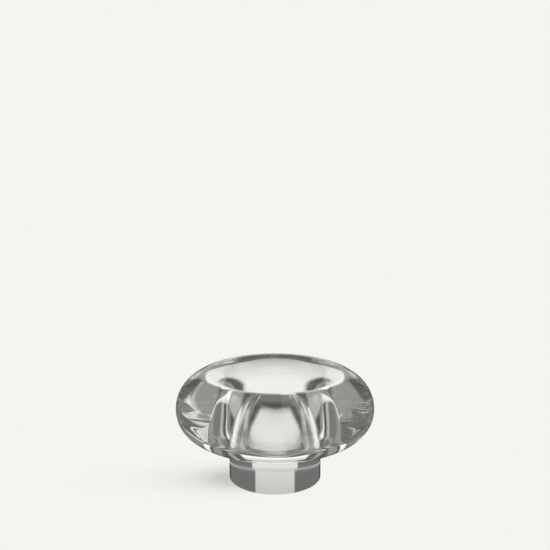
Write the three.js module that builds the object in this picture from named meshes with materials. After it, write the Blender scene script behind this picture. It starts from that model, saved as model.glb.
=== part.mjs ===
// Votive candle holder: a thick ring-shaped bowl of clear glass bonded to a plain polished steel base.
// Millimetres, +Z up, origin on the table under the middle of the base. Every piece is turned about Z.
import * as THREE from "three";

// Overall sizes
const bowlDiameter = 100;
const overallHeight = 55;
const widestHeight = 37.6;
const baseDiameter = 46.8;
const baseHeight = 20.2;

// Glass bowl: lip, shoulder and underside
const lipDiameter = 69.4;
const lipRound = 3.5;
const lipOuterLean = 18;
const lipInnerLean = 12;
const shoulderRise = 8.5;
const shoulderReach = 8.1;
const undersideDrop = 10.5;
const undersideReach = 16;
const footDiameter = 49;

// Glass bowl: the well that holds the candle
const slopeReach = 9;
const throatDiameter = 42.4;
const throatHeight = 44;
const throatRise = 3.5;
const wallFootDiameter = 45.6;
const wallFootHeight = 30;
const wallFootDrop = 4;
const wellFloorDiameter = 28;
const wellFloorReach = 5;
const wellFloorThickness = 2.5;

// Steel base shell
const shellWall = 2;
const shellTop = 1.5;
const shellEdgeRound = 0.4;
const shellInnerFillet = 1.5;
const rebateDepth = 0.9;

// Closing plate, foot pad and bond film
const plateThickness = 1.2;
const plateFit = 0.15;
const padThickness = 1.6;
const padSetback = 0.8;
const padStandsProud = 0.4;
const bondThickness = 0.36;
const bondSetback = 0.7;
const seatGap = 0.05;

// Facets
const aroundSegments = 64;
const sweepSteps = 10;
const roundStepDegrees = 15;

// Heights and radii that follow from the sizes above
const bowlRadius = bowlDiameter / 2;
const lipRadius = lipDiameter / 2;
const wellFloorRadius = wellFloorDiameter / 2;
const footRadius = footDiameter / 2;
const baseRadius = baseDiameter / 2;
const bondBottom = baseHeight + seatGap;
const bondTop = bondBottom + bondThickness;
const footHeight = bondTop + seatGap;
const wellFloorHeight = footHeight + wellFloorThickness;
const plateBottom = padThickness + seatGap;
const plateTop = plateBottom + plateThickness;
const rebateTop = plateTop + seatGap;
const boreRadius = baseRadius - shellWall;
const rebateRadius = boreRadius + rebateDepth;

// Points along a half section: a line needs its ends, a round a step every few degrees, a sweep its fixed steps.
function outline(section) {
  const points = [section.curves[0].getPoint(0)];
  for (const curve of section.curves) {
    let steps = 1;
    if (curve.isCubicBezierCurve) {
      steps = sweepSteps;
    } else if (curve.isEllipseCurve) {
      const turn = THREE.MathUtils.radToDeg(Math.abs(curve.aEndAngle - curve.aStartAngle));
      steps = Math.ceil(turn / roundStepDegrees);
    }
    points.push(...curve.getPoints(steps).slice(1));
  }
  return points;
}

// Turns a half section (radius across, height up) about the Z axis.
function turned(section) {
  const solid = new THREE.LatheGeometry(outline(section), aroundSegments);
  return solid.rotateX(Math.PI / 2);
}

function piece(name, section, finish) {
  const mesh = new THREE.Mesh(turned(section), new THREE.MeshStandardMaterial(finish));
  mesh.name = name;
  return mesh;
}

// A quarter round from the path's present point: start and end angles are those of the arc about its centre.
function quarter(section, centreRadius, centreHeight, round, fromDegrees, toDegrees) {
  const start = THREE.MathUtils.degToRad(fromDegrees);
  const end = THREE.MathUtils.degToRad(toDegrees);
  section.absarc(centreRadius, centreHeight, round, start, end, toDegrees < fromDegrees);
}

// Flat foot, swelling underside, rounded shoulder, lip, inward slope, throat, and a well that widens downwards.
function bowlSection() {
  const crestAngle = Math.PI / 2;
  const outerAngle = crestAngle - THREE.MathUtils.degToRad(lipOuterLean);
  const innerAngle = crestAngle + THREE.MathUtils.degToRad(lipInnerLean);
  const lipCentreHeight = overallHeight - lipRound;
  const outerLip = new THREE.Vector2(Math.cos(outerAngle), Math.sin(outerAngle));
  const innerLip = new THREE.Vector2(Math.cos(innerAngle), Math.sin(innerAngle));
  const lipStart = new THREE.Vector2(lipRadius, lipCentreHeight).addScaledVector(outerLip, lipRound);
  const lipEnd = new THREE.Vector2(lipRadius, lipCentreHeight).addScaledVector(innerLip, lipRound);
  const throat = new THREE.Vector2(throatDiameter / 2, throatHeight);
  const wallFoot = new THREE.Vector2(wallFootDiameter / 2, wallFootHeight);
  const wall = wallFoot.clone().sub(throat).normalize();

  const section = new THREE.Path();
  section.moveTo(0, footHeight);
  section.lineTo(footRadius, footHeight);
  section.bezierCurveTo(
    footRadius + undersideReach, footHeight,
    bowlRadius, widestHeight - undersideDrop,
    bowlRadius, widestHeight,
  );
  section.bezierCurveTo(
    bowlRadius, widestHeight + shoulderRise,
    lipStart.x + shoulderReach * outerLip.y, lipStart.y - shoulderReach * outerLip.x,
    lipStart.x, lipStart.y,
  );
  section.absarc(lipRadius, lipCentreHeight, lipRound, outerAngle, crestAngle, false);
  section.absarc(lipRadius, lipCentreHeight, lipRound, crestAngle, innerAngle, false);
  section.bezierCurveTo(
    lipEnd.x - slopeReach * innerLip.y, lipEnd.y + slopeReach * innerLip.x,
    throat.x - throatRise * wall.x, throat.y - throatRise * wall.y,
    throat.x, throat.y,
  );
  section.lineTo(wallFoot.x, wallFoot.y);
  section.bezierCurveTo(
    wallFoot.x + wallFootDrop * wall.x, wallFoot.y + wallFootDrop * wall.y,
    wellFloorRadius + wellFloorReach, wellFloorHeight,
    wellFloorRadius, wellFloorHeight,
  );
  section.lineTo(0, wellFloorHeight);
  return section;
}

// A turned cap, open below, with a rebate inside its rim that the closing plate seats in.
function shellSection() {
  const section = new THREE.Path();
  const roofHeight = baseHeight - shellTop;
  section.moveTo(0, roofHeight);
  section.lineTo(boreRadius - shellInnerFillet, roofHeight);
  quarter(section, boreRadius - shellInnerFillet, roofHeight - shellInnerFillet, shellInnerFillet, 90, 0);
  section.lineTo(boreRadius, rebateTop);
  section.lineTo(rebateRadius, rebateTop);
  section.lineTo(rebateRadius, padStandsProud);
  section.lineTo(baseRadius - shellEdgeRound, padStandsProud);
  quarter(section, baseRadius - shellEdgeRound, padStandsProud + shellEdgeRound, shellEdgeRound, -90, 0);
  section.lineTo(baseRadius, baseHeight - shellEdgeRound);
  quarter(section, baseRadius - shellEdgeRound, baseHeight - shellEdgeRound, shellEdgeRound, 0, 90);
  section.lineTo(0, baseHeight);
  return section;
}

function discSection(radius, bottom, top) {
  const section = new THREE.Path();
  section.moveTo(0, bottom);
  section.lineTo(radius, bottom);
  section.lineTo(radius, top);
  section.lineTo(0, top);
  return section;
}

const glassFinish = { color: 0xf4f5f3, roughness: 0.02, metalness: 0, transparent: true, opacity: 0.35 };
const steelFinish = { color: 0xc9c8c4, roughness: 0.08, metalness: 1 };
const plateFinish = { color: 0x9a9a98, roughness: 0.35, metalness: 1 };
const padFinish = { color: 0x2b2b2b, roughness: 0.95, metalness: 0 };
const bondFinish = { color: 0xeef0ee, roughness: 0.05, metalness: 0, transparent: true, opacity: 0.3 };

const holder = new THREE.Group();
holder.add(
  piece("glass_bowl", bowlSection(), glassFinish),
  piece("steel_base", shellSection(), steelFinish),
  piece("bond_film", discSection(baseRadius - bondSetback, bondBottom, bondTop), bondFinish),
  piece("closing_plate", discSection(rebateRadius - plateFit, plateBottom, plateTop), plateFinish),
  piece("foot_pad", discSection(rebateRadius - padSetback, 0, padThickness), padFinish),
);

export default holder;
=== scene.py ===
import math

import bpy
from bpy.props import FloatProperty, FloatVectorProperty, IntProperty, PointerProperty
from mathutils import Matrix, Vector
from mathutils.geometry import interpolate_bezier


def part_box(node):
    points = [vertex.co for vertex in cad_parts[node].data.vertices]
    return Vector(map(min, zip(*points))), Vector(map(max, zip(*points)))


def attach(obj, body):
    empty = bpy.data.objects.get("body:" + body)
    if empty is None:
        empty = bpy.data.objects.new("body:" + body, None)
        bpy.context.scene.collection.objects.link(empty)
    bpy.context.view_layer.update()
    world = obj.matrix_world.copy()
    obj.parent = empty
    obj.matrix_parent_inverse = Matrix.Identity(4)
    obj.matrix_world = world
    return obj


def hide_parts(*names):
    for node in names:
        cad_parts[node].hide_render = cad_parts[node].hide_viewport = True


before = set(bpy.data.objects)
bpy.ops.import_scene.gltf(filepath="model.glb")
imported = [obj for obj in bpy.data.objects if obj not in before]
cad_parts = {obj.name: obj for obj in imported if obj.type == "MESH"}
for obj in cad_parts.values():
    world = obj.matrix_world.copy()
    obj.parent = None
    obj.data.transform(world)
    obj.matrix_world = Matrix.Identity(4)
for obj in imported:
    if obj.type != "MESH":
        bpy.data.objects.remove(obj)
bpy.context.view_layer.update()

bl_info = {
    "name": "Votive candle holder",
    "version": (1, 0, 0),
    "blender": (4, 5, 0),
    "location": "View3D > Sidebar > Candle holder",
    "description": "Thick clear glass bowl on a polished steel base, with its studio",
    "category": "Object",
}

MM = 0.001
GLASS_LOW, GLASS_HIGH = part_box("glass_bowl")
BASE_LOW, BASE_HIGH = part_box("steel_base")
PLATE_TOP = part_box("closing_plate")[1].z
PAD_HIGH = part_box("foot_pad")[1]

# Clearance between the closing plate and its seat in the shell
PLATE_GAP = 0.05 * MM
# Width of the flat ring beside an edge, which keeps the edge's smooth shading off the flat face
EDGE_RING = 1 * MM
# Points of a spun shape that lie closer than this are one point
MERGE_REACH = 0.002 * MM
# Share of up or down in a face's normal above which the face is an end of a drum
END_FACE = 0.99
# Share of up or down in a face's normal below which the face is the side of a drum
SIDE_FACE = 0.5


def length(name, description, default):
    """A size in metres that a user may change."""
    return FloatProperty(name=name, description=description, default=default, unit="LENGTH", precision=5)


def angle(name, description, degrees):
    """An angle that a user may change."""
    turn = math.radians(degrees)
    return FloatProperty(name=name, description=description, default=turn, subtype="ANGLE")


def tone(name, description, default):
    """A plain colour that a user may change."""
    return FloatVectorProperty(
        name=name, description=description, default=default, size=3, min=0.0, max=1.0, subtype="COLOR"
    )


def steps_around(default):
    """A number of steps around the axis that a user may change."""
    return IntProperty(name="Facets", description="Steps around the axis", default=default, min=48)


class BowlShape(bpy.types.PropertyGroup):
    """Half section of the glass bowl."""
    radius: length("Bowl radius", "Half of the widest width", GLASS_HIGH.x)
    top: length("Top", "Height of the lip above the table", GLASS_HIGH.z)
    foot: length("Foot", "Height of the flat glass foot above the table", GLASS_LOW.z)
    foot_radius: length("Foot radius", "Where the flat foot turns into the underside", 24.5 * MM)
    widest: length("Widest height", "Height at which the bowl is widest", 37.6 * MM)
    underside_reach: length("Underside reach", "Pull of the underside at the foot", 16 * MM)
    underside_drop: length("Underside drop", "Pull of the underside at the widest height", 10.5 * MM)
    shoulder_rise: length("Shoulder rise", "Pull of the shoulder at the widest height", 8.5 * MM)
    shoulder_reach: length("Shoulder reach", "Pull of the shoulder at the lip", 8.1 * MM)
    lip_radius: length("Lip radius", "Distance of the lip's crest from the axis", 34.7 * MM)
    lip_round: length("Lip round", "Radius of the rolled lip", 6 * MM)
    lip_outer_lean: angle("Lip outer lean", "How far the lip's round turns outwards", 18)
    lip_inner_lean: angle("Lip inner lean", "How far the lip's round turns inwards", 15)
    slope_reach: length("Slope reach", "Pull of the inward slope at the lip", 9 * MM)
    throat_radius: length("Throat radius", "Narrowest radius inside the bowl", 21.2 * MM)
    throat_height: length("Throat height", "Height of the narrowest place", 44 * MM)
    throat_rise: length("Throat rise", "Pull of the inward slope at the throat", 3.5 * MM)
    wall_radius: length("Wall foot radius", "Radius at which the well's straight wall ends", 22.8 * MM)
    wall_height: length("Wall foot height", "Height at which the well's straight wall ends", 30 * MM)
    wall_drop: length("Wall foot drop", "Pull of the round below the wall", 4 * MM)
    floor_radius: length("Floor radius", "Radius of the flat floor under the candle", 14 * MM)
    floor_height: length("Floor height", "Height of the flat floor above the table", 23.16 * MM)
    floor_reach: length("Floor reach", "Pull of the round at the floor", 5 * MM)
    facets: steps_around(224)


class BaseShape(bpy.types.PropertyGroup):
    """The turned steel shell, the seat of its closing plate, and the felt pad."""
    radius: length("Base radius", "Half of the base's width", BASE_HIGH.x)
    bottom: length("Base bottom", "Height of the shell's lower rim above the table", BASE_LOW.z)
    top: length("Base top", "Height of the shell's top above the table", BASE_HIGH.z)
    wall: length("Wall", "Thickness of the shell's wall", 2 * MM)
    roof: length("Roof", "Thickness of the shell's top", 1.5 * MM)
    rebate: length("Rebate", "How far the plate's seat is cut into the wall", 0.9 * MM)
    plate_seat: length("Plate seat", "Height of the plate's shoulder in the shell", PLATE_TOP + PLATE_GAP)
    edge_round: length("Edge round", "Round on the outer edges", 0.4 * MM)
    pad_radius: length("Pad radius", "Half of the felt pad's width", PAD_HIGH.x)
    pad_thickness: length("Pad thickness", "Thickness of the felt pad", PAD_HIGH.z)
    pad_round: length("Pad round", "Round on the felt pad's edges", 0.35 * MM)
    facets: steps_around(192)


class Finishes(bpy.types.PropertyGroup):
    """Colours of the pieces."""
    glass: tone("Glass", "Tint of the clear glass", (0.985, 0.985, 0.980))
    steel: tone("Steel", "Colour of the polished steel", (0.800, 0.801, 0.808))
    bond: tone("Bond", "Tint of the cured adhesive", (0.985, 0.984, 0.978))
    plate: tone("Plate", "Colour of the closing plate", (0.420, 0.420, 0.410))
    felt: tone("Felt", "Colour of the felt pad", (0.032, 0.031, 0.030))


class Studio(bpy.types.PropertyGroup):
    """Camera, floor and light."""
    background: tone("Background", "Colour of the floor and backdrop as seen", (0.913, 0.905, 0.871))
    camera_distance: length("Camera distance", "Distance of the camera from the axis", 0.372)
    camera_height: length("Camera height", "Height of the camera above the table", 0.1672)
    camera_pitch: angle("Camera pitch", "How far the camera looks down", 9.53)
    lens: FloatProperty(name="Lens", description="Focal length", default=50.0, unit="CAMERA")
    sensor: FloatProperty(name="Sensor", description="Width of the sensor", default=36.0, unit="CAMERA")
    shade: FloatProperty(
        name="Shade", description="Share of the floor that takes shade",
        default=0.48, min=0.0, max=1.0, subtype="FACTOR"
    )
    key_place: FloatVectorProperty(
        name="Key place", description="Direction from the holder to the soft key light",
        default=(0.70, 0.10, 0.70), subtype="DIRECTION"
    )
    key_width: angle("Key width", "How wide the soft key light is", 70)
    key_strength: FloatProperty(name="Key strength", description="Strength of the key light", default=3.6)
    fill_strength: FloatProperty(name="Fill strength", description="Light from all round", default=0.20)


class Value:
    """A shader's socket that takes part in expressions: each operator adds a Math node."""

    def __init__(self, shader, socket):
        self.shader = shader
        self.socket = socket

    def __add__(self, other):
        return self.shader.maths("ADD", self, other)

    def __radd__(self, other):
        return self.shader.maths("ADD", other, self)

    def __sub__(self, other):
        return self.shader.maths("SUBTRACT", self, other)

    def __rsub__(self, other):
        return self.shader.maths("SUBTRACT", other, self)

    def __mul__(self, other):
        return self.shader.maths("MULTIPLY", self, other)

    def __rmul__(self, other):
        return self.shader.maths("MULTIPLY", other, self)

    def __neg__(self):
        return self.shader.maths("MULTIPLY", self, -1.0)

    def __abs__(self):
        return self.shader.maths("ABSOLUTE", self)


class Shader:
    """A node tree that is written as expressions."""

    def __init__(self, owner):
        owner.use_nodes = True
        self.tree = owner.node_tree
        self.tree.nodes.clear()

    def node(self, kind, settings=None, sockets=None, output=0):
        """Adds a node, sets it up, then fills or links its sockets, and gives one of its outputs."""
        node = self.tree.nodes.new(kind)
        for name, setting in (settings or {}).items():
            setattr(node, name, setting)
        for name, given in (sockets or {}).items():
            if isinstance(given, Value):
                self.tree.links.new(given.socket, node.inputs[name])
            else:
                node.inputs[name].default_value = given
        return Value(self, node.outputs[output]) if node.outputs else None

    def maths(self, operation, *values):
        """A Math node on values or numbers."""
        return self.node("ShaderNodeMath", {"operation": operation}, dict(enumerate(values)))

    def place(self, scale=(1.0, 1.0, 1.0)):
        """Object coordinates, stretched by scale."""
        point = self.node("ShaderNodeTexCoord", output="Object")
        return self.node("ShaderNodeMapping", {}, {"Vector": point, "Scale": scale})

    def part(self, vector, axis):
        """One of the three numbers of a vector."""
        return self.node("ShaderNodeSeparateXYZ", {}, {0: vector}, axis)

    def step(self, value, middle, edge):
        """A soft step from 0 to 1, half-way at the middle and one edge long to each side."""
        span = {"Value": value, "From Min": middle - edge, "From Max": middle + edge}
        return self.node("ShaderNodeMapRange", {"interpolation_type": "SMOOTHSTEP"}, span)

    def between(self, value, span, edge):
        """One between the two ends of a span and zero outside, with soft edges."""
        return self.step(value, span[0], edge) * (1 - self.step(value, span[1], edge))

    def noise(self, vector, scale, detail):
        """A cloudy pattern from 0 to 1."""
        sockets = {"Vector": vector, "Scale": scale, "Detail": detail}
        return self.node("ShaderNodeTexNoise", {}, sockets, "Fac")

    def blend(self, factor, first, second):
        """A mix of two colours."""
        sockets = {0: factor, 6: (*first, 1), 7: (*second, 1)}
        return self.node("ShaderNodeMix", {"data_type": "RGBA"}, sockets, 2)

    def bump(self, height, strength, distance):
        """A normal that follows a height."""
        sockets = {"Height": height, "Strength": strength, "Distance": distance}
        return self.node("ShaderNodeBump", {}, sockets)

    def mix(self, factor, first, second):
        """A mix of two shaders."""
        return self.node("ShaderNodeMixShader", {}, {0: factor, 1: first, 2: second})

    def surface(self, sockets):
        """A Principled shader at the output."""
        body = self.node("ShaderNodeBsdfPrincipled", {}, sockets)
        self.node("ShaderNodeOutputMaterial", {}, {"Surface": body})


def scaled(colour, share):
    """A colour made darker or lighter."""
    return [share * part for part in colour]


def clear_glass(tint, foot):
    """Clear fire-polished glass with the slight waves of a moulded surface, on a ground foot."""
    material = bpy.data.materials.new("clear_glass")
    shader = Shader(material)
    waves = shader.noise(shader.place((1.0, 1.0, 2.0)), scale=60.0, detail=1.0)
    film = shader.step(shader.noise(shader.place(), scale=240.0, detail=4.0), middle=0.66, edge=0.12)
    height = shader.part(shader.place(), "Z")
    foot_reach = 0.01 * MM
    ground = 1 - shader.step(height, foot + foot_reach, foot_reach / 2)
    shader.surface({
        "Base Color": (*tint, 1.0),
        "Roughness": film * 0.012 + ground * 0.12,
        "IOR": 1.5,
        "Transmission Weight": 1.0,
        "Normal": shader.bump(waves, strength=0.09, distance=1 * MM),
    })
    return material


def polished_steel(colour):
    """Mirror-polished steel with faint turning marks and a breath of haze."""
    material = bpy.data.materials.new("polished_steel")
    shader = Shader(material)
    marks = shader.noise(shader.place((30.0, 30.0, 9000.0)), scale=1.0, detail=2.0)
    haze = shader.noise(shader.place(), scale=90.0, detail=4.0)
    shader.surface({
        "Base Color": shader.blend(haze, scaled(colour, 0.965), colour),
        "Metallic": 1.0,
        "Roughness": 0.018 + marks * 0.008 + haze * 0.012,
        "Normal": shader.bump(marks, strength=0.002, distance=0.05 * MM),
    })
    return material


def clear_bond(tint):
    """Cured clear adhesive with a few cloudy places."""
    material = bpy.data.materials.new("clear_bond")
    shader = Shader(material)
    clouds = shader.noise(shader.place(), scale=400.0, detail=3.0)
    shader.surface({
        "Base Color": shader.blend(clouds, scaled(tint, 0.98), tint),
        "Roughness": shader.step(clouds, middle=0.62, edge=0.10) * 0.15,
        "IOR": 1.48,
        "Transmission Weight": 1.0,
    })
    return material


def plate_steel(colour):
    """Plain sheet steel, faced on a lathe: fine rings about the axis."""
    material = bpy.data.materials.new("plate_steel")
    shader = Shader(material)
    point = shader.place()
    x = shader.part(point, "X")
    y = shader.part(point, "Y")
    reach = shader.maths("SQRT", x * x + y * y)
    ring_rate = 9000.0
    rings = shader.maths("SINE", reach * ring_rate) * 0.5 + 0.5
    stain = shader.noise(shader.place(), scale=160.0, detail=4.0)
    shader.surface({
        "Base Color": shader.blend(stain, scaled(colour, 0.86), colour),
        "Metallic": 1.0,
        "Roughness": 0.30 + rings * 0.08 + stain * 0.06,
        "Normal": shader.bump(rings, strength=0.12, distance=0.06 * MM),
    })
    return material


def dark_felt(colour):
    """Dense felt: short matted fibres and a slight fleck."""
    material = bpy.data.materials.new("dark_felt")
    shader = Shader(material)
    fibres = shader.noise(shader.place(), scale=5200.0, detail=5.0)
    flecks = shader.noise(shader.place(), scale=900.0, detail=3.0)
    shader.surface({
        "Base Color": shader.blend(fibres * 0.6 + flecks * 0.4, scaled(colour, 0.55), scaled(colour, 2.1)),
        "Roughness": 0.86 + fibres * 0.14,
        "Sheen Weight": 0.25,
        "Normal": shader.bump(fibres * 0.7 + flecks * 0.3, strength=0.6, distance=0.2 * MM),
    })
    return material


def only(piece):
    """Leaves one object selected and active."""
    bpy.ops.object.select_all(action="DESELECT")
    piece.select_set(True)
    bpy.context.view_layer.objects.active = piece


def smoothed(piece, degrees):
    """Leaves edit mode and smooths the piece, apart from edges that turn by more than the angle."""
    bpy.ops.object.mode_set(mode="OBJECT")
    only(piece)
    bpy.ops.object.shade_smooth_by_angle(angle=math.radians(degrees))


def sweep(start, start_handle, end_handle, end, steps):
    """Points along one curve of a half section, after its first point."""
    curve = interpolate_bezier(start, start_handle, end_handle, end, steps + 1)
    return [Vector(point) for point in curve[1:]]


def at(radius, height):
    """A point of a half section, on the XZ plane."""
    return Vector((radius, 0.0, height))


def started(name):
    """Names the primitive that was just added, puts its place into its mesh and enters edit mode."""
    piece = bpy.context.active_object
    piece.name = name
    piece.data.name = name
    bpy.ops.object.transform_apply(location=True, rotation=True, scale=True)
    bpy.ops.object.mode_set(mode="EDIT")
    return piece


def spun(name, points, facets):
    """Draws a half section vertex by vertex and spins it about the Z axis into a closed shape."""
    bpy.ops.object.select_all(action="DESELECT")
    bpy.ops.mesh.primitive_plane_add(size=1 * MM, location=points[0])
    piece = started(name)
    bpy.ops.mesh.select_all(action="SELECT")
    bpy.ops.mesh.merge(type="CENTER")
    for here, there in zip(points, points[1:]):
        bpy.ops.mesh.extrude_vertices_move(TRANSFORM_OT_translate={"value": there - here})
    bpy.ops.mesh.select_all(action="SELECT")
    bpy.ops.mesh.spin(steps=facets, angle=math.tau, center=(0, 0, 0), axis=(0, 0, 1))
    bpy.ops.mesh.select_all(action="SELECT")
    bpy.ops.mesh.remove_doubles(threshold=MERGE_REACH)
    bpy.ops.mesh.normals_make_consistent(inside=False)
    smoothed(piece, degrees=35)
    return piece


def drum(name, radius, bottom, top, facets):
    """A cylinder to start a turned piece from, in edit mode."""
    bpy.ops.object.select_all(action="DESELECT")
    middle = (0, 0, (top + bottom) / 2)
    bpy.ops.mesh.primitive_cylinder_add(
        vertices=facets, radius=radius, depth=top - bottom, end_fill_type="NGON", location=middle
    )
    return started(name)


def choose(piece, test):
    """Selects the faces of the piece in edit mode whose normal's share of up passes the test."""
    bpy.ops.mesh.select_mode(type="FACE")
    bpy.ops.mesh.select_all(action="DESELECT")
    bpy.ops.object.mode_set(mode="OBJECT")
    found = [face for face in piece.data.polygons if test(face.normal.z)]
    for face in found:
        face.select = True
    bpy.ops.object.mode_set(mode="EDIT")
    if not found:
        raise RuntimeError(f"{piece.name}: no face to work on")


def choose_end(piece, side):
    """Selects the flat end of a drum: the upper one where side is 1, the lower one where it is -1."""
    choose(piece, lambda up: up * side > END_FACE)


def round_rims(piece, size):
    """Rounds the upper and the lower rim of a drum."""
    choose(piece, lambda up: abs(up) < SIDE_FACE)
    bpy.ops.mesh.select_mode(type="EDGE")
    bpy.ops.mesh.region_to_loop()
    bpy.ops.mesh.bevel(offset=size, segments=4, affect="EDGES", offset_type="OFFSET")


def raise_faces(rise):
    """Extrudes the selected faces straight up."""
    bpy.ops.mesh.extrude_region_move(TRANSFORM_OT_translate={"value": (0, 0, rise)})


def finished(piece, node, material):
    """Gives a piece its finish and lets it stand for its CAD node."""
    piece.data.materials.clear()
    piece.data.materials.append(material)
    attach(piece, "root")
    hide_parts(node)


class HOLDER_OT_glass_bowl(bpy.types.Operator):
    """Turns the thick glass bowl: flat foot, swelling underside, rolled lip, throat and candle well"""
    bl_idname = "holder.glass_bowl"
    bl_label = "Glass bowl"

    def execute(self, context):
        size = context.scene.holder_bowl
        bowl = spun("bowl", [*self.outside(size), *self.lip(size), *self.inside(size)], size.facets)
        bowl.visible_shadow = False
        glass = clear_glass(context.scene.holder_finish.glass, size.foot)
        finished(bowl, "glass_bowl", glass)
        return {"FINISHED"}

    def lip(self, size):
        """The rolled lip, from its outer to its inner end."""
        steps = 12
        outer = math.pi / 2 - size.lip_outer_lean
        inner = math.pi / 2 + size.lip_inner_lean
        middle = at(size.lip_radius, size.top - size.lip_round)
        turns = [outer + (inner - outer) * step / steps for step in range(steps + 1)]
        return [middle + size.lip_round * at(math.cos(turn), math.sin(turn)) for turn in turns]

    def outside(self, size):
        """The flat foot, the underside and the shoulder, up to the lip."""
        foot = at(size.foot_radius, size.foot)
        foot_pull = foot + at(size.underside_reach, 0)
        widest = at(size.radius, size.widest)
        below = widest - at(0, size.underside_drop)
        above = widest + at(0, size.shoulder_rise)
        lip = self.lip(size)[0]
        lean = size.lip_outer_lean
        lip_pull = lip + size.shoulder_reach * at(math.cos(lean), -math.sin(lean))
        points = [at(0, size.foot), foot - at(EDGE_RING, 0), foot]
        points += sweep(foot, foot_pull, below, widest, steps=32)
        points += sweep(widest, above, lip_pull, lip, steps=28)[:-1]
        return points

    def inside(self, size):
        """The inward slope, the throat and the well with its rounded floor, down from the lip."""
        steps = 10
        lip = self.lip(size)[-1]
        lean = size.lip_inner_lean
        lip_pull = lip - size.slope_reach * at(math.cos(lean), math.sin(lean))
        throat = at(size.throat_radius, size.throat_height)
        wall_foot = at(size.wall_radius, size.wall_height)
        wall = (wall_foot - throat).normalized()
        floor = at(size.floor_radius, size.floor_height)
        floor_pull = floor + at(size.floor_reach, 0)
        points = sweep(lip, lip_pull, throat - size.throat_rise * wall, throat, steps=24)
        points += [throat.lerp(wall_foot, step / steps) for step in range(1, steps + 1)]
        points += sweep(wall_foot, wall_foot + size.wall_drop * wall, floor_pull, floor, steps=24)
        points += [floor - at(EDGE_RING, 0), at(0, size.floor_height)]
        return points


class HOLDER_OT_steel_base(bpy.types.Operator):
    """Turns the polished steel shell: a drum hollowed from below, with a seat for its closing plate"""
    bl_idname = "holder.steel_base"
    bl_label = "Steel base"

    def execute(self, context):
        size = context.scene.holder_base
        base = drum("base_shell", size.radius, size.bottom, size.top, size.facets)
        round_rims(base, size.edge_round)
        choose_end(base, -1)
        bpy.ops.mesh.inset(thickness=size.wall - size.rebate - size.edge_round)
        raise_faces(size.plate_seat - size.bottom)
        bpy.ops.mesh.inset(thickness=size.rebate)
        raise_faces(size.top - size.roof - size.plate_seat)
        choose_end(base, 1)
        bpy.ops.mesh.inset(thickness=EDGE_RING)
        smoothed(base, degrees=30)
        bpy.ops.object.modifier_add(type="WEIGHTED_NORMAL")
        normals = base.modifiers[-1]
        normals.weight = 100
        normals.keep_sharp = True
        bpy.ops.object.modifier_apply(modifier=normals.name)
        finished(base, "steel_base", polished_steel(context.scene.holder_finish.steel))
        return {"FINISHED"}


class HOLDER_OT_foot_pad(bpy.types.Operator):
    """Cuts the felt pad and softens its edges"""
    bl_idname = "holder.foot_pad"
    bl_label = "Felt pad"

    def execute(self, context):
        size = context.scene.holder_base
        pad = drum("felt_pad", size.pad_radius, 0.0, size.pad_thickness, size.facets)
        round_rims(pad, size.pad_round)
        for side in (-1, 1):
            choose_end(pad, side)
            bpy.ops.mesh.inset(thickness=EDGE_RING)
        smoothed(pad, degrees=50)
        finished(pad, "foot_pad", dark_felt(context.scene.holder_finish.felt))
        return {"FINISHED"}


class HOLDER_OT_hidden_pieces(bpy.types.Operator):
    """Finishes the two pieces that keep their CAD shape: the bond film and the closing plate"""
    bl_idname = "holder.hidden_pieces"
    bl_label = "Bond film and closing plate"

    def execute(self, context):
        finish = context.scene.holder_finish
        made = {"bond_film": clear_bond(finish.bond), "closing_plate": plate_steel(finish.plate)}
        for node, material in made.items():
            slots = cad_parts[node].data.materials
            if len(slots):
                slots[0] = material
            else:
                slots.append(material)
        return {"FINISHED"}


class Room:
    """Brightness of the studio by direction, laid card over card.

    A direction is given in degrees around from the front and in degrees up from level.
    """

    # Past straight ahead, straight behind and overhead, so that a card's soft edge doesn't show there
    AHEAD = -9
    BEHIND = 189
    OVERHEAD = 99

    def __init__(self, shader, level):
        towards = shader.node("ShaderNodeTexCoord", output="Generated")
        x, y, z = [shader.part(towards, axis) for axis in "XYZ"]
        degrees = 180 / math.pi
        self.shader = shader
        self.turn = shader.maths("ARCTAN2", x, -y) * degrees
        self.around = abs(self.turn)
        self.up = shader.maths("ARCSINE", z) * degrees
        self.level = level

    def card(self, brightness, up, around=None, turn=None, edge=3):
        """Lays a soft-edged card: around counts to both sides, turn to the right alone, left below zero."""
        side, width = (self.turn, turn) if around is None else (self.around, around)
        inside = self.shader.between(side, width, edge) * self.shader.between(self.up, up, edge)
        self.level = self.level + (brightness - self.level) * inside

    def lights(self):
        """The ceiling, soft lights over the front, behind and on the right, and the side walls."""
        self.card(0.28, around=(self.AHEAD, self.BEHIND), up=(52, self.OVERHEAD))
        self.card(1.10, around=(self.AHEAD, 62), up=(57, self.OVERHEAD), edge=4)
        self.card(1.15, around=(128, 153), up=(46, 62))
        self.card(0.65, turn=(92, 121), up=(30, 48))
        self.dark_walls()
        self.card(0.52, around=(76, 108), up=(-10, 8))

    def dark_walls(self):
        """The dark band of the side walls."""
        self.card(0.10, around=(86, 118), up=(9, 28))

    def behind(self, table):
        """The backdrop, brighter towards its top, in its dark surround, and the table in front of it."""
        backdrop = 0.76 + self.shader.step(self.up, 8, 14) * 0.64
        self.card(0.10, around=(147, self.BEHIND), up=(-72, 27))
        self.card(0.10, around=(155, self.BEHIND), up=(27, 52))
        self.card(backdrop, around=(160, self.BEHIND), up=(0, 40))
        self.card(table, around=(165, self.BEHIND), up=(-78, 0))


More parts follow.
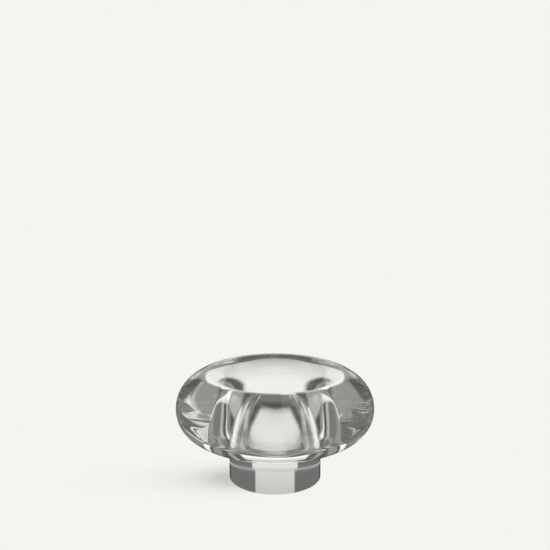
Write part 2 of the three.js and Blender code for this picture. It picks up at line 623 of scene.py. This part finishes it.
def seen_in_glass(shader):
    """What the glass shows: a dark room in front, with a table that is lit on the right alone."""
    room = Room(shader, 0.34)
    room.lights()
    # A brighter light on the right, over which the dark walls are laid again, and one low on the left
    room.card(1.10, turn=(88, 112), up=(14, 49))
    room.dark_walls()
    room.card(1.20, turn=(-138, -116), up=(-9, 10))
    # The room in front and its table
    room.card(0.12, around=(room.AHEAD, 77), up=(-26, 30), edge=4)
    room.card(0.16, turn=(-52, 16), up=(-60, -9))
    room.card(0.79, turn=(14, 52), up=(-85, -9))
    # The table at the sides and beside the backdrop: dark, then lit, then dark near the holder
    room.card(0.20, around=(103, 129), up=(-31, -12))
    room.card(0.52, around=(131, 147), up=(-31, -17))
    room.card(0.20, around=(131, 147), up=(-42, -31))
    room.behind(0.53 + shader.step(room.up, -45, 30) * 0.50)
    return room.level


def seen_in_metal(shader):
    """What the metal shows: a lit strip of table in front, brighter beyond the edge of the bowl's shade."""
    # The edge of the shade: degrees below level in front, and how fast it rises to the sides
    edge_depth = 23.86
    edge_rise = 0.000024
    # The thin line along that edge, and the fading before it, in degrees
    line_reach = 0.06
    line_edge = 0.04
    fade_reach = 1.1
    line_level = 0.70
    room = Room(shader, 0.22)
    past_edge = room.up + edge_depth - room.around * room.around * edge_rise
    beyond = shader.step(past_edge, 0, line_reach)
    fading = shader.step(past_edge, -fade_reach, fade_reach)
    line = shader.between(past_edge, (-line_reach, line_reach), line_edge)
    room.lights()
    room.card(0.06, around=(room.AHEAD, 58), up=(-8, 30), edge=4)
    strip = 0.74 + fading * 0.18 + beyond * 0.14
    room.card(strip, around=(room.AHEAD, 49.5 + beyond * 8.5), up=(-75, -9))
    room.behind(0.12)
    return room.level + (line_level - room.level) * line


class HOLDER_OT_stage(bpy.types.Operator):
    """Sets up the floor, the soft studio light and the camera"""
    bl_idname = "holder.stage"
    bl_label = "Stage"

    def execute(self, context):
        scene = context.scene
        studio = scene.holder_studio
        self.floor(studio)
        self.light(studio)
        self.world(scene, studio)
        self.camera(scene, studio)
        scene.view_settings.view_transform = "Standard"
        # Light passes many faces of thick glass before it leaves
        scene.cycles.max_bounces = 32
        scene.cycles.transmission_bounces = 32
        scene.cycles.glossy_bounces = 24
        return {"FINISHED"}

    def floor(self, studio):
        """A round floor with a wide rim, which metal and glass don't show: they show the room instead."""
        middle_radius = 0.25
        spread = 40
        bpy.ops.object.select_all(action="DESELECT")
        bpy.ops.mesh.primitive_circle_add(
            vertices=96, radius=middle_radius, fill_type="NGON", location=(0, 0, 0)
        )
        floor = bpy.context.active_object
        floor.name = "floor"
        bpy.ops.object.mode_set(mode="EDIT")
        bpy.ops.mesh.select_all(action="SELECT")
        bpy.ops.mesh.select_mode(type="EDGE")
        bpy.ops.mesh.region_to_loop()
        bpy.ops.mesh.extrude_edges_move()
        bpy.ops.transform.resize(value=(spread, spread, 1), center_override=(0, 0, 0))
        bpy.ops.object.mode_set(mode="OBJECT")
        floor.visible_glossy = False
        floor.visible_transmission = False
        floor.data.materials.append(self.pale_floor(studio))

    def pale_floor(self, studio):
        """Plain pale floor that takes shade to the left of the holder, and is clear from below."""
        material = bpy.data.materials.new("pale_floor")
        shader = Shader(material)
        pale = (*studio.background, 1.0)
        point = shader.place()
        x = shader.part(point, "X")
        y = shader.part(point, "Y")
        strip_offset = 4 * MM
        along = 1 - shader.step(abs(y + strip_offset), middle=14 * MM, edge=13 * MM)
        left = 1 - shader.step(x, middle=-10 * MM, edge=20 * MM)
        plain = shader.node("ShaderNodeEmission", {}, {"Color": pale, "Strength": 1.0})
        shaded = shader.node("ShaderNodeBsdfDiffuse", {}, {"Color": pale})
        above = shader.mix(along * left * studio.shade, plain, shaded)
        from_below = shader.node("ShaderNodeNewGeometry", output="Backfacing")
        clear = shader.node("ShaderNodeBsdfTransparent")
        shader.node("ShaderNodeOutputMaterial", {}, {"Surface": shader.mix(from_below, above, clear)})
        return material

    def light(self, studio):
        """The soft key light from the right, which gives the floor its shade."""
        towards = Vector(studio.key_place)
        bpy.ops.object.light_add(type="SUN", location=towards)
        lamp = bpy.context.active_object
        lamp.name = "soft_key"
        lamp.data.angle = studio.key_width
        lamp.data.energy = studio.key_strength
        lamp.rotation_euler = towards.to_track_quat("Z", "Y").to_euler()
        lamp.visible_glossy = False
        lamp.visible_transmission = False

    def world(self, scene, studio):
        """The surroundings: plain to the camera, a room in metal and glass, and a weak fill elsewhere."""
        world = bpy.data.worlds.new("studio")
        scene.world = world
        shader = Shader(world)
        pale = (*studio.background, 1.0)
        white = (1, 1, 1, 1)

        def glow(colour, strength):
            return shader.node("ShaderNodeBackground", {}, {"Color": colour, "Strength": strength})

        def ray(kind):
            return shader.node("ShaderNodeLightPath", output=f"Is {kind} Ray")

        fill = glow(white, studio.fill_strength)
        in_metal = shader.mix(ray("Glossy"), fill, glow(pale, seen_in_metal(shader)))
        in_glass = shader.mix(ray("Transmission"), in_metal, glow(pale, seen_in_glass(shader)))
        seen = shader.mix(ray("Camera"), in_glass, glow(pale, 1.0))
        shader.node("ShaderNodeOutputWorld", {}, {"Surface": seen})

    def camera(self, scene, studio):
        """The camera in front, looking down a little."""
        place = (0.0, -studio.camera_distance, studio.camera_height)
        tilt = (math.pi / 2 - studio.camera_pitch, 0.0, 0.0)
        bpy.ops.object.camera_add(location=place, rotation=tilt)
        camera = bpy.context.active_object
        camera.name = "camera"
        camera.data.lens = studio.lens
        camera.data.sensor_width = studio.sensor
        scene.camera = camera


class HOLDER_PT_panel(bpy.types.Panel):
    """Lists the pieces and their sizes"""
    bl_idname = "HOLDER_PT_panel"
    bl_label = "Candle holder"
    bl_space_type = "VIEW_3D"
    bl_region_type = "UI"
    bl_category = "Candle holder"

    def draw(self, context):
        for operator in OPERATORS:
            self.layout.operator(operator.bl_idname)
        for name in SETTINGS:
            group = getattr(context.scene, name)
            box = self.layout.box()
            for key in group.__annotations__:
                box.prop(group, key)


OPERATORS = (
    HOLDER_OT_glass_bowl,
    HOLDER_OT_steel_base,
    HOLDER_OT_foot_pad,
    HOLDER_OT_hidden_pieces,
    HOLDER_OT_stage,
)
SETTINGS = {
    "holder_bowl": BowlShape,
    "holder_base": BaseShape,
    "holder_finish": Finishes,
    "holder_studio": Studio,
}


def register():
    for group in SETTINGS.values():
        bpy.utils.register_class(group)
    for name, group in SETTINGS.items():
        setattr(bpy.types.Scene, name, PointerProperty(type=group))
    for operator in OPERATORS:
        bpy.utils.register_class(operator)
    bpy.utils.register_class(HOLDER_PT_panel)


def unregister():
    bpy.utils.unregister_class(HOLDER_PT_panel)
    for operator in reversed(OPERATORS):
        bpy.utils.unregister_class(operator)
    for name in SETTINGS:
        delattr(bpy.types.Scene, name)
    for group in reversed(list(SETTINGS.values())):
        bpy.utils.unregister_class(group)


def main():
    """Builds the holder and its studio."""
    register()
    bpy.ops.holder.glass_bowl()
    bpy.ops.holder.steel_base()
    bpy.ops.holder.foot_pad()
    bpy.ops.holder.hidden_pieces()
    bpy.ops.holder.stage()


if __name__ == "__main__":
    main()
